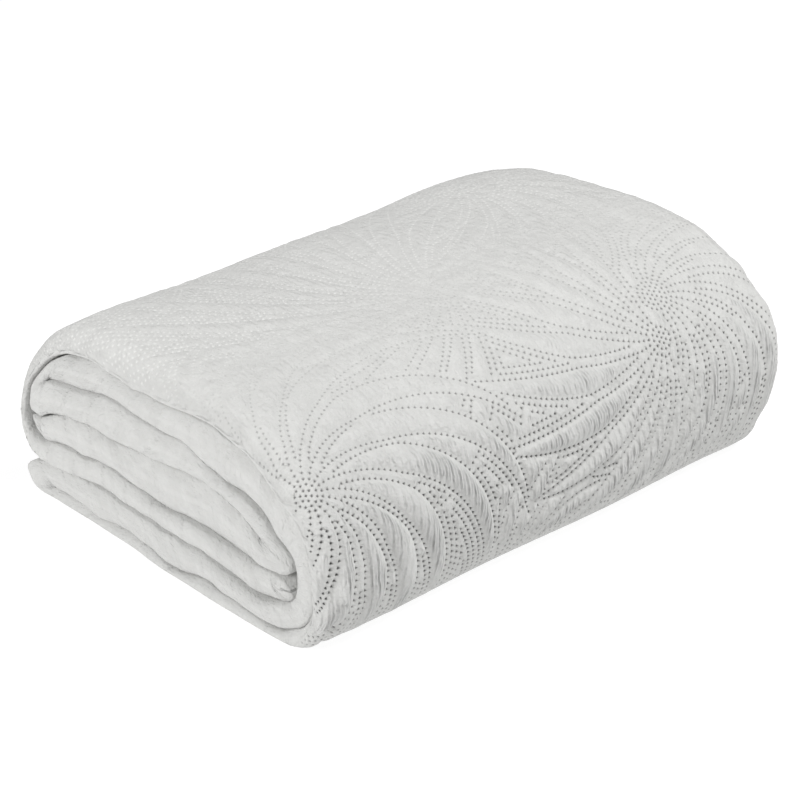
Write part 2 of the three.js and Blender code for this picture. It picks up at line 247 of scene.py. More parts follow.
def beside(line, shift):
    """The line moved to its left by one shift, or by one for each of its points."""
    along = np.gradient(line, axis=0)
    along /= np.linalg.norm(along, axis=1)[:, None]
    return line + np.stack([-along[:, 1], along[:, 0]], 1) * np.reshape(shift, (-1, 1))


def crease_sides(name, count):
    """Both sides of a crease, a gap apart, wider where the layers part."""
    line = trace(CREASE[name], count)
    share = np.linspace(0, 1, len(line))
    gap = np.full(len(line), GAP)
    for at, width, reach in SLITS.get(name, ()):
        gap += width * np.exp(-((share - at) / reach) ** 2)
    return beside(line, gap / 2), beside(line, -gap / 2)


def rounded_end(face, back, reach):
    """Rows of a layer's free end, tip first: blunt, past its last pair and lifting a little."""
    middle = (face + back) / 2
    angles = np.radians(TIP_ANGLES)[:, None]
    out = middle + np.array([reach, TIP_LIFT]) * np.cos(angles)
    thick = np.sin(angles) ** TIP_BLUNT
    return out + (face - middle) * thick, out + (back - middle) * thick


def around_tip(start, end, count, turn):
    """A half circle from start to end, anticlockwise when turn is 1."""
    centre = (start + end) / 2
    arm = start - centre
    angle = np.linspace(0, turn * math.pi, count + 1)
    return centre + np.stack([arm[0] * np.cos(angle) - arm[1] * np.sin(angle),
                              arm[0] * np.sin(angle) + arm[1] * np.cos(angle)], 1)


def ribbon_layers():
    """Every layer as (outer face, inner face, shows), in the ribbon's order."""
    top_above, top_below = crease_sides("top", ACROSS)
    upper_above, upper_below = crease_sides("upper", ACROSS)
    middle_above, middle_below = crease_sides("middle", ACROSS)
    lower_above, lower_below = crease_sides("lower", ACROSS)
    wrap_above, wrap_below = crease_sides("wrap", ACROSS)
    foot_above, foot_below = crease_sides("foot", ACROSS)
    back = trace(SKIN["back"])
    cover = trace(SKIN["cover"])
    front = trace(SKIN["front"])
    nose = trace(SKIN["nose"])
    rise = trace(TURN["inner_front"], 24)
    back_turn = trace(TURN["upper_back"])
    front_turn = trace(TURN["middle_front"])
    cover_below = crease_sides("top", len(cover) - 1)[0]
    front_inside = crease_sides("front", len(front) - 1)[1][::-1]
    rise_inside = crease_sides("front", len(rise) - 1)[0]
    lower_tip = rounded_end(wrap_above[-2], lower_below[-2], TIP_REACH["lower"])
    middle_tip = rounded_end(lower_above[0], middle_below[0], TIP_REACH["middle"])
    return [
        (*lower_tip, False),
        (wrap_above[::-1][1:], lower_below[::-1][1:], False),
        (back, trace(TURN["inside_back"], len(back) - 1), True),
        (cover, cover_below, True),
        (front, front_inside, True),
        (trace(SKIN["base"], ACROSS), foot_below[::-1], False),
        (nose, around_tip(foot_below[0], foot_above[0], len(nose) - 1, -1), False),
        (wrap_below, foot_above, False),
        (rise, rise_inside, False),
        (upper_above[::-1], top_below[::-1], False),
        (around_tip(upper_above[0], upper_below[0], len(back_turn) - 1, 1), back_turn, False),
        (upper_below, middle_above, False),
        (front_turn, around_tip(middle_above[-1], middle_below[-1], len(front_turn) - 1, -1), False),
        (lower_above[::-1], middle_below[::-1], False),
        (middle_tip[0][::-1], middle_tip[1][::-1], False),
    ]


def ribbon_rows():
    """The layers as one run of rows: outer, inner, distance s, shows, height u."""
    outer, inner, shows = [], [], []
    for face, back, skin in ribbon_layers():
        for a, b in zip(face, back):
            if outer and np.linalg.norm(outer[-1] - a) + np.linalg.norm(inner[-1] - b) < 2.2:
                shows[-1] = shows[-1] or skin
                continue
            outer.append(a)
            inner.append(b)
            shows.append(skin)
    outer, inner, shows = np.array(outer), np.array(inner), np.array(shows)
    middle = (outer + inner) / 2
    s = np.concatenate([[0], np.cumsum(np.linalg.norm(np.diff(middle, axis=0), axis=1))])
    skin = np.flatnonzero(shows)[::-1]
    u = np.full(len(s), np.nan)
    u[skin] = np.concatenate([[0], np.cumsum(np.linalg.norm(np.diff(outer[skin], axis=0), axis=1))])
    free = (COVER_SHARE - 0.5) * smooth(u[skin], 0, 40) * smooth(u[skin[-1]] - u[skin], 0, 40)
    middle[skin] += (inner[skin] - outer[skin]) * free[:, None]
    tip = len(TIP_ANGLES)
    middle[:tip] = middle[tip]
    middle[-tip:] = middle[-tip - 1]
    return dict(outer=outer, inner=inner, middle=middle, s=s, shows=shows, u=u)


def settle(x, y, z):
    """Points of the near end's section, changed towards the far end and centred."""
    along = y / LENGTH + 0.5
    side = x / HALF_WIDTH
    height = z / HEIGHT
    front = np.maximum(side, 0)
    back = np.maximum(-side, 0)
    rise = CROWN + FAR_SHOULDER * smooth(side, -0.1, 0.7) - FAR_SLOPE * back ** 1.5
    low, high = FAR_FRONT
    swell = (low + (high - low) * smooth(height, 0.05, 0.6)) * front ** 2 - FAR_BACK * back ** 2
    sway = 1.1 * np.sin(y / 33 + height * 2.4) * side
    droop = END_DROOP * (1 - smooth(LENGTH / 2 - np.abs(y), 0, DROOP_REACH)) * height
    dips = 1.2 * np.sin(y / 41 + side * 2.1) * height + 0.9 * np.sin(y / 23 - side * 3.3)
    sag = dips * height * np.minimum(1, height * 5)
    return np.stack([
        x + along * swell + sway - MIDDLE[0],
        y - MIDDLE[1],
        np.maximum(0, z * (1 + along * rise) * (1 - droop) + sag),
    ], -1)


def end_of(s, middle, end):
    """How far an end face stands from the middle: some layers lie a little proud."""
    uneven = 1.3 * np.sin(s / 74 + end * 1.7) + 0.9 * np.sin(s / 31 + end * 0.6)
    bulge = 0.45 + 0.55 * np.exp(-((middle[..., 0] - SWELL_AT) ** 2) / 4200)
    low = bulge * np.exp(-(middle[..., 1] ** 2) / 2400)
    return LENGTH / 2 + uneven + (NEAR_SWELL * low if end < 0 else 0)


def cover_nose(u, reach):
    """Depth, bluntness and turn of the cover's rounded ends; they tighten at foot and back."""
    free = smooth(u, 0, 40) * smooth(reach - u, 0, 40)
    return (NOSE_DEPTH + (COVER_NOSE_DEPTH - NOSE_DEPTH) * free,
            NOSE_BLUNT + (COVER_BLUNT - NOSE_BLUNT) * free,
            NOSE_TURN + (90 - NOSE_TURN) * free)


def round_over(share, blunt, turn):
    """Depth and spread, both as shares, at a share of an edge's turn."""
    angle = np.radians(turn * share)
    full = np.radians(turn)
    return (1 - np.cos(angle)) / (1 - np.cos(full)), (np.sin(angle) / np.sin(full)) ** blunt


def stations(near, far, depth, blunt, turn):
    """y and spread of every point of a row, from one rounded end to the other."""
    drop, spread = round_over(np.array(NOSE_SHARES), blunt[:, None], turn[:, None])
    near_y = -(near[:, None] - depth[:, None] * drop)
    far_y = far[:, None] - depth[:, None] * drop
    share = np.arange(1, INNER_STATIONS + 1) / (INNER_STATIONS + 1)
    between = near_y[:, -1:] + (far_y[:, -1:] - near_y[:, -1:]) * share
    y = np.concatenate([near_y, between, far_y[:, ::-1]], 1)
    full = np.ones((len(near), INNER_STATIONS))
    return y, np.concatenate([spread, full, spread[:, ::-1]], 1)


def face_grid(own, middle, y, spread):
    """Points of one face as rows by stations."""
    at = middle[:, None] + (own - middle)[:, None] * spread[..., None]
    return settle(at[..., 0], y, at[..., 1])


# The quilting.
def hub_radius(palm):
    return ROW_START / math.radians(palm["spread"] / (palm["blades"] - 1))


def blade_rows(palm, i):
    """The two edges of one leaf blade, base to tip, in u and v."""
    hub = hub_radius(palm)
    fan = i / (palm["blades"] - 1) * 2 - 1
    tip = palm["reach"] * (1 - 0.25 * fan * fan) * (1 + 0.06 * math.sin(2.1 * i + palm["u"]))
    t = np.linspace(0, 1, 110)
    r = hub + (tip - hub) * t
    bearing = np.radians(palm["axis"] + fan * palm["spread"] / 2 + palm["swirl"] * t ** 1.3)
    room = r * math.radians(palm["spread"] / (palm["blades"] - 1)) / 2 - BLADE_GAP / 2
    half = np.minimum(np.maximum(room, 0.2), palm["width"] / 2 * np.sin(np.pi * t ** 0.75) ** 0.8)
    half = np.maximum(half, 0.05)[:, None]
    spine = np.stack([palm["u"] + r * np.cos(bearing), palm["v"] + r * np.sin(bearing)], 1)
    along = np.gradient(spine, axis=0)
    along /= np.linalg.norm(along, axis=1)[:, None]
    aside = np.stack([-along[:, 1], along[:, 0]], 1)
    return spine + aside * half, spine - aside * half


def inside(outline, points):
    x, y = points[:, 0][:, None], points[:, 1][:, None]
    a, b = outline, np.roll(outline, -1, 0)
    crosses = (a[:, 1] > y) != (b[:, 1] > y)
    rise = np.where(b[:, 1] == a[:, 1], 1e-9, b[:, 1] - a[:, 1])
    at = (b[:, 0] - a[:, 0]) * (y - a[:, 1]) / rise + a[:, 0]
    return (crosses & (x < at)).sum(1) % 2 == 1


def long_enough(good, least):
    """The mask without its runs shorter than the least."""
    out = good.copy()
    ends = np.flatnonzero(np.diff(np.concatenate([[0], good.astype(int), [0]])))
    for start, stop in zip(ends[::2], ends[1::2]):
        if stop - start < least:
            out[start:stop] = False
    return out


class Quilting:
    """Rows of welded dots: leaf blades first, then echo rows in the ground."""

    def __init__(self, reach_u, reach_v):
        self.low = np.array([0.0, -reach_v]) + 2.0
        self.high = np.array([reach_u, reach_v]) - 2.0
        self.dots = Spots()
        self.turns = []
        self.traced = []
        self.blades = []
        for order, palm in enumerate(PALMS):
            for i in range(palm["blades"]):
                left, right = blade_rows(palm, i)
                self.blades.append((order, np.vstack([left, right[::-1]]), left, right))
        self.weld_hubs()
        self.weld_blades()
        self.weld_echoes()
        rows = np.vstack(self.traced)
        self.rows = rows[distances(tree_of(self.dots.points), rows) < DOT_PITCH * 0.8]

    def covered(self, points, before):
        """Which points lie inside a blade of the palms that come before this one."""
        hit = np.zeros(len(points), bool)
        for order, outline, _, _ in self.blades:
            if order >= before:
                continue
            near = np.all((points > outline.min(0)) & (points < outline.max(0)), 1) & ~hit
            if near.any():
                hit[np.flatnonzero(near)[inside(outline, points[near])]] = True
        return hit

    def weld(self, line, good, room):
        """Dots at their pitch along the good stretches of a finely stepped line."""
        good = long_enough(good, SHORTEST / TRACE_STEP)
        run = DOT_PITCH
        turns = np.arctan2(*np.gradient(line, axis=0).T[::-1])
        for point, turn, ok in zip(line, turns, good):
            run = run + TRACE_STEP if ok else DOT_PITCH
            if ok and run >= DOT_PITCH and self.dots.add(point, room):
                self.turns.append(turn)
                run = 0
        self.traced.append(line[good])

    def within(self, line):
        return np.all((line > self.low) & (line < self.high), 1)

    def weld_hubs(self):
        """Rings of dots that fill the middle of every leaf."""
        for order, palm in enumerate(PALMS):
            for k in range(int((hub_radius(palm) - 1.5) / HUB_RING) + 1):
                turns = np.arange(max(1, 6 * k)) * 2 * math.pi / max(1, 6 * k)
                ring = k * HUB_RING * np.stack([np.cos(turns), np.sin(turns)], 1)
                ring += (palm["u"], palm["v"])
                ring = ring[self.within(ring) & ~self.covered(ring, order)]
                self.turns += [turn for point, turn in zip(ring, turns)
                               if self.dots.add(point, HUB_ROOM)]
                self.traced.append(ring)

    def weld_blades(self):
        for order, _, left, right in self.blades:
            for side in (left, right):
                line = resample(side, max(2, int(length_of(side) / TRACE_STEP)))
                self.weld(line, self.within(line) & ~self.covered(line, order), BLADE_ROOM)

    def weld_echoes(self):
        tree = tree_of(np.vstack(self.traced))
        for k in range(1, ECHOES):
            for _, outline, _, _ in self.blades:
                closed = np.vstack([outline, outline[:1]])
                line = resample(closed, int(length_of(closed) / TRACE_STEP))
                along = np.roll(line, -2, 0) - np.roll(line, 2, 0)
                along /= np.linalg.norm(along, axis=1)[:, None] + 1e-9
                aside = np.stack([-along[:, 1], along[:, 0]], 1)
                ahead = np.roll(line, -1, 0)
                area = np.sum(line[:, 0] * ahead[:, 1] - line[:, 1] * ahead[:, 0])
                out = line + aside * (k * ROW_PITCH) * (-1 if area > 0 else 1)
                good = self.within(out)
                good[good] = distances(tree, out[good]) > k * ROW_PITCH - 0.3
                if good.any():
                    good[good] = ~self.covered(out[good], len(PALMS))
                self.weld(out, good, ROW_ROOM)


class Spots:
    """Points kept a given room apart, found again through square cells."""

    CELL = 4.0

    def __init__(self):
        self.cells = {}
        self.points = []

    def add(self, point, room):
        i, j = int(point[0] // self.CELL), int(point[1] // self.CELL)
        for a in (i - 1, i, i + 1):
            for b in (j - 1, j, j + 1):
                for q in self.cells.get((a, b), ()):
                    if (q[0] - point[0]) ** 2 + (q[1] - point[1]) ** 2 < room * room:
                        return False
        self.cells.setdefault((i, j), []).append(point)
        self.points.append(point)
        return True


def tree_of(points):
    tree = KDTree(len(points))
    for i, point in enumerate(points):
        tree.insert((point[0], point[1], 0.0), i)
    tree.balance()
    return tree


def distances(tree, points):
    return np.array([tree.find((p[0], p[1], 0.0))[2] for p in points]) if len(points) else np.zeros(0)


def quilted_points(quilting, reach_u, reach_v):
    """Points of the flat cover: dots, their rims, ridges beside rows, and filling."""
    dots = np.array(quilting.dots.points)
    turns = np.array(quilting.turns)
    along = np.stack([np.cos(turns), np.sin(turns)], 1)
    aside = np.stack([-along[:, 1], along[:, 0]], 1)
    rims = np.vstack([dots + way * DOT_RADIUS for way in (along, aside, -along, -aside)])
    dot_tree = tree_of(dots)
    ridges = Spots()
    # A point halfway between two close dots keeps them apart.
    pairs = np.array([(i, j) for i, dot in enumerate(dots)
                      for _, j, _ in dot_tree.find_range((dot[0], dot[1], 0.0), CLOSE) if j > i])
    between = np.vstack([dots[pairs].mean(1), dots + along * DOT_PITCH / 2])
    for point in between[distances(dot_tree, between) > CLOSE_CLEAR]:
        ridges.add(point, CLOSE_ROOM)
    for share, clear, room in RIDGES:
        for way in (aside, -aside):
            points = dots + way * ROW_PITCH * share
            for point in points[distances(dot_tree, points) > clear]:
                if 1.2 < point[0] < reach_u - 1.2 and abs(point[1]) < reach_v - 1.2:
                    ridges.add(point, room)
    ridges = np.array(ridges.points)
    ridge_tree = tree_of(ridges)
    rng = np.random.default_rng(FILL_SEED)
    us = np.arange(FILL_PITCH, reach_u - FILL_PITCH / 2, FILL_PITCH)
    vs = np.arange(-reach_v + FILL_PITCH, reach_v - FILL_PITCH / 2, FILL_PITCH * 0.8)
    fill = np.stack(np.meshgrid(us, vs), -1)
    fill[1::2, :, 0] += FILL_PITCH / 2
    fill = fill.reshape(-1, 2) + rng.uniform(-0.6, 0.6, (us.size * vs.size, 2))
    fill = fill[(fill[:, 0] < reach_u - 1.5) & (distances(dot_tree, fill) > FILL_ROOM)]
    fill = fill[distances(ridge_tree, fill) > FILL_ROOM]
    return dots, rims, ridges, fill, dot_tree


class Cover:
    """The outer face: where a point u, v of the flat quilting lies in space."""

    def __init__(self, rows):
        skin = np.flatnonzero(rows["shows"])[::-1]
        self.u = rows["u"][skin]
        self.reach_u = self.u[-1]
        self.outer = rows["outer"][skin]
        self.middle = rows["middle"][skin]
        depth, blunt, turn = cover_nose(self.u, self.reach_u)
        near = end_of(rows["s"][skin], self.middle, -1)
        far = end_of(rows["s"][skin], self.middle, 1)
        half = np.linalg.norm(self.outer - self.middle, axis=1)
        curl = math.pi / 2 * np.sqrt((depth ** 2 + half ** 2) / 2) * (1 - NOSE_SHARES[0])
        self.table = np.stack([depth, near, far, curl, blunt, turn], 1)
        self.reach_v = float(np.mean(near + far - 2 * depth + 2 * curl)) / 2

    def at(self, u):
        def pick(data):
            return np.stack([np.interp(u, self.u, data[:, k]) for k in range(data.shape[1])], 1)
        return pick(self.outer), pick(self.middle), pick(self.table)

    def station_v(self, i):
        """v of each station of the row numbered i, to meet the plain rows."""
        depth, near, far, curl = self.table[i, :4]
        total = near + far - 2 * depth + 2 * curl
        nose = (np.array(NOSE_SHARES) - NOSE_SHARES[0]) / (1 - NOSE_SHARES[0]) * curl
        share = np.arange(1, INNER_STATIONS + 1) / (INNER_STATIONS + 1)
        run = np.concatenate([nose, curl + (total - 2 * curl) * share, total - nose[::-1]])
        return (run / total * 2 - 1) * self.reach_v

    def place(self, u, v):
        outer, middle, table = self.at(u)
        depth, near, far, curl, blunt, turn = table.T
        total = near + far - 2 * depth + 2 * curl
        run = (v / self.reach_v + 1) / 2 * total
        from_near = np.clip(run / curl, 0, 1)
        from_far = np.clip((total - run) / curl, 0, 1)
        share = NOSE_SHARES[0] + (1 - NOSE_SHARES[0]) * np.minimum(from_near, from_far)
        drop, spread = round_over(share, blunt, turn)
        round_off = depth * drop
        y = np.where(from_near < 1, -(near - round_off),
                     np.where(from_far < 1, far - round_off, run - curl - near + depth))
        at = middle + (outer - middle) * spread[:, None]
        return settle(at[:, 0], y, at[:, 1])

    def normal(self, u, v):
        step = 0.6
        du = self.place(np.minimum(u + step, self.reach_u), v) - self.place(np.maximum(u - step, 0), v)
        dv = self.place(u, np.minimum(v + step, self.reach_v))
        dv -= self.place(u, np.maximum(v - step, -self.reach_v))
        out = np.cross(dv, du)
        return out / (np.linalg.norm(out, axis=1)[:, None] + 1e-9)


def quilted_height(u, v, from_row, from_dot, reach_u, reach_v):
    """How far the filled cloth stands above its rows, and the mask of its gathers."""
    low_side = 1 - smooth(u, *SHOULDER)
    pulled = TOP_PUFF + (1 - TOP_PUFF) * (1 - smooth(u, *PULLED)) - 0.1 * smooth(u, 280, 400)
    rim = smooth(reach_v - np.abs(v), 1.5, 12)
    lift = PUFF * pulled * (1 - np.exp(-from_row / PUFF_RISE)) * (0.45 + 0.55 * rim)
    lift *= smooth(u, 14, 62) * smooth(reach_u - u, 4, 30) * (1 - 0.5 * smooth(v, 110, 185))
    from_seam = np.abs(v + reach_v - RIM_WIDTH - 1.5 * np.sin(u / 13))
    groove = SEAM_DEPTH * np.exp(-(from_seam / SEAM_WIDTH) ** 2)
    lift -= groove * smooth(u, 4, 12) * (1 - smooth(u, 62, 90))
    gather = (0.17 + 0.83 * low_side) * smooth(from_row, 1.2, 4.5) * rim * smooth(u, 8, 36)
    waves = np.array([noise.noise((a / 55, b / 70, 5.2)) for a, b in zip(u, v)])
    lift += UNDULATION * waves * smooth(reach_v - np.abs(v), 2, 30) * smooth(u, 10, 60)
    pit = DOT_DEPTH * pulled * np.exp(-(from_dot / DOT_REACH) ** 2) * smooth(u, 8, 30)
    return lift - pit, gather


def quilt_cover(cover):
    """The cover's points in space, triangles, flat places, weld and gather marks."""
    quilting = Quilting(cover.reach_u, cover.reach_v)
    dots, rims, ridges, fill, dot_tree = quilted_points(quilting, cover.reach_u, cover.reach_v)
    edge = [(cover.u[0], v) for v in cover.station_v(0)]
    edge += [(cover.reach_u, v) for v in cover.station_v(-1)]
    edge += [(u, side * cover.reach_v) for u in cover.u[1:-1] for side in (-1, 1)]
    edge = np.array(edge)
    parts = ((edge, 0), (dots, 1), (rims, 0.5), (ridges, 0), (fill, 0))
    flat = np.vstack([points for points, _ in parts])
    weld = np.concatenate([np.full(len(points), float(mark)) for points, mark in parts])
    _, _, faces, origin, _, _ = delaunay_2d_cdt([Vector(p) for p in flat], [], [], 0, 1e-5)
    keep = [ids[0] for ids in origin]
    flat, weld = flat[keep], weld[keep]
    u, v = flat.T
    from_row = distances(tree_of(quilting.rows), flat)
    height, gather = quilted_height(u, v, from_row, distances(dot_tree, flat),
                                    cover.reach_u, cover.reach_v)
    on_edge = (u < 0.01) | (u > cover.reach_u - 0.01) | (np.abs(v) > cover.reach_v - 0.01)
    height[on_edge] = 0
    points = cover.place(u, v) + cover.normal(u, v) * height[:, None]
    return points, np.array(faces), flat, weld, gather


# The cloth as one mesh.
def grid_faces(first, rows, columns, flip):
    """Quads of a grid of points numbered from first, row by row."""
    i, j = np.meshgrid(np.arange(rows - 1), np.arange(columns - 1), indexing="ij")
    a = first + (i * columns + j).ravel()
    quads = np.stack([a, a + 1, a + columns + 1, a + columns], 1)
    return quads[:, ::-1] if flip else quads


def arc_places(grid, s_like, turned):
    """Flat place of each point of a face: distance along the ribbon, and along its row."""
    steps = np.linalg.norm(np.diff(grid, axis=1), axis=2)
    run = np.concatenate([np.zeros((len(grid), 1)), np.cumsum(steps, 1)], 1)
    v = run - run[:, -1:] / 2
    if turned:
        v = np.sign(v) * run[:, -1:] - v
    return np.stack([np.broadcast_to(s_like[:, None], v.shape), v], -1)


class Cloth:
    """Gathers the points, faces and marks of the parts that make the cloth."""

    def __init__(self):
        self.points, self.faces, self.flat = [], [], []
        self.marks = {"weld": [], "gather": [], "band": []}
        self.count = 0

    def add(self, points, faces, flat, weld, gather, band=0.0):
        self.points.append(points)
        self.faces.extend((np.asarray(faces) + self.count).tolist())
        self.flat.append(flat)
        for name, values in (("weld", weld), ("gather", gather), ("band", band)):
            self.marks[name].append(np.broadcast_to(values, len(points)))
        self.count += len(points)

    def add_grid(self, grid, flat, flip):
        self.add(grid.reshape(-1, 3), grid_faces(0, grid.shape[0], grid.shape[1], flip),
                 flat.reshape(-1, 2), 0.0, 0.0, 1.0)


def wrinkled(points):
    """Soft wrinkles that move neighbouring layers together, strongest at the end faces."""
    noise.seed_set(WRINKLE_SEED)
    out = points.copy()
    reach = smooth(np.abs(points[:, 1]), LENGTH / 2 - WRINKLE_REACH, LENGTH / 2)
    for i in np.flatnonzero(reach > 0.01):
        x, y, z = points[i]
        push = noise.noise_vector((x / WRINKLE_SIZE, y / WRINKLE_SIZE / 2, z / WRINKLE_SIZE))
        fine = noise.noise((x / 13, z / 13, math.copysign(3.0, y)))
        amount = WRINKLE * reach[i]
        on_floor = min(1.0, z / 8)
        out[i, 0] += push[0] * amount
        out[i, 1] += (push[1] * amount + fine * BAND_PUFF * reach[i]) * on_floor
        out[i, 2] += push[2] * amount * on_floor
    out[:, 2] = np.maximum(out[:, 2], 0)
    return out


def make_cloth():
    rows = ribbon_rows()
    cover = Cover(rows)
    s, middle, shows = rows["s"], rows["middle"], rows["shows"]
    near, far = end_of(s, middle, -1), end_of(s, middle, 1)
    half = np.linalg.norm(rows["outer"] - middle, axis=1)
    tight = np.array([noise.noise((a / 31, 0.4, 2.0)) for a in s])
    plain = np.minimum(NOSE_DEPTH * (1 + 0.75 * tight), half * 1.15)
    plain[shows & ((rows["u"] < 1) | (rows["u"] > cover.reach_u - 1))] = NOSE_DEPTH
    plain = (plain, np.full(len(s), NOSE_BLUNT), np.full(len(s), NOSE_TURN))
    shown = cover_nose(np.nan_to_num(rows["u"]), cover.reach_u)
    shown = [np.where(shows, a, b) for a, b in zip(shown, plain)]
    outer = face_grid(rows["outer"], middle, *stations(near, far, *shown))
    inner = face_grid(rows["inner"], middle, *stations(near, far, *plain))

    skin = np.flatnonzero(shows)
    first, last = skin[0], skin[-1]
    run = np.where(np.arange(len(s)) > first, s[last] - s, cover.reach_u + s[first] - s)
    run[first:last + 1] = np.interp(s[first:last + 1], [s[first], s[last]], [cover.reach_u, 0])
    outer_flat = arc_places(outer, run, False)
    inner_flat = arc_places(inner, run, True)

    cloth = Cloth()
    cloth.add_grid(outer[:first + 1], outer_flat[:first + 1], False)
    cloth.add_grid(outer[last:], outer_flat[last:], False)
    cloth.add_grid(inner, inner_flat, True)
    for column, flip in ((0, True), (-1, False)):
        cap = np.stack([outer[:, column], inner[:, column]], 1)
        cloth.add_grid(cap, np.stack([inner_flat[:, column]] * 2, 1), flip)
    for row, flip in ((0, True), (-1, False)):
        tip = np.stack([outer[row], inner[row]], 0)
        cloth.add_grid(tip, np.stack([outer_flat[row]] * 2, 0), flip)
    cloth.add(*quilt_cover(cover))
    return cloth


def build_bedspread():
    cloth = make_cloth()
    mesh = bpy.data.meshes.new("bedspread_cloth")
    mesh.from_pydata((wrinkled(np.vstack(cloth.points)) / 1000).tolist(), [], cloth.faces)
    flat = np.column_stack([np.vstack(cloth.flat) / 1000, np.zeros(cloth.count)])
    mesh.attributes.new("flat_place", "FLOAT_VECTOR", "POINT").data.foreach_set("vector", flat.ravel())
    for name, values in cloth.marks.items():
        mesh.attributes.new(name, "FLOAT", "POINT").data.foreach_set("value", np.concatenate(values))
    piece = bpy.data.objects.new("bedspread_cloth", mesh)
    bpy.context.collection.objects.link(piece)
    join_edges(mesh)
    return piece


def join_edges(mesh):
    work = bmesh.new()
    work.from_mesh(mesh)
    bmesh.ops.remove_doubles(work, verts=work.verts, dist=0.00002)
    bmesh.ops.recalc_face_normals(work, faces=work.faces)
    for face in work.faces:
        face.smooth = True
    open_edges = sum(1 for e in work.edges if len(e.link_faces) != 2)
    print("cloth:", len(work.verts), "points,", sum(len(f.verts) - 2 for f in work.faces), "triangles,",
          open_edges, "open edges")
    work.to_mesh(mesh)
    work.free()


# Materials.
def add_node(tree, kind, settings=None, links=None, output=0):
    """Adds a shader node with its settings and links; returns the wanted output."""
    made = tree.nodes.new("ShaderNode" + kind)
    for name, value in (settings or {}).items():
        if isinstance(name, int) or name in made.inputs:
            made.inputs[name].default_value = value
        else:
            setattr(made, name, value)
    for name, source in (links or {}).items():
        tree.links.new(source, made.inputs[name])
    return made.outputs[output] if made.outputs else None


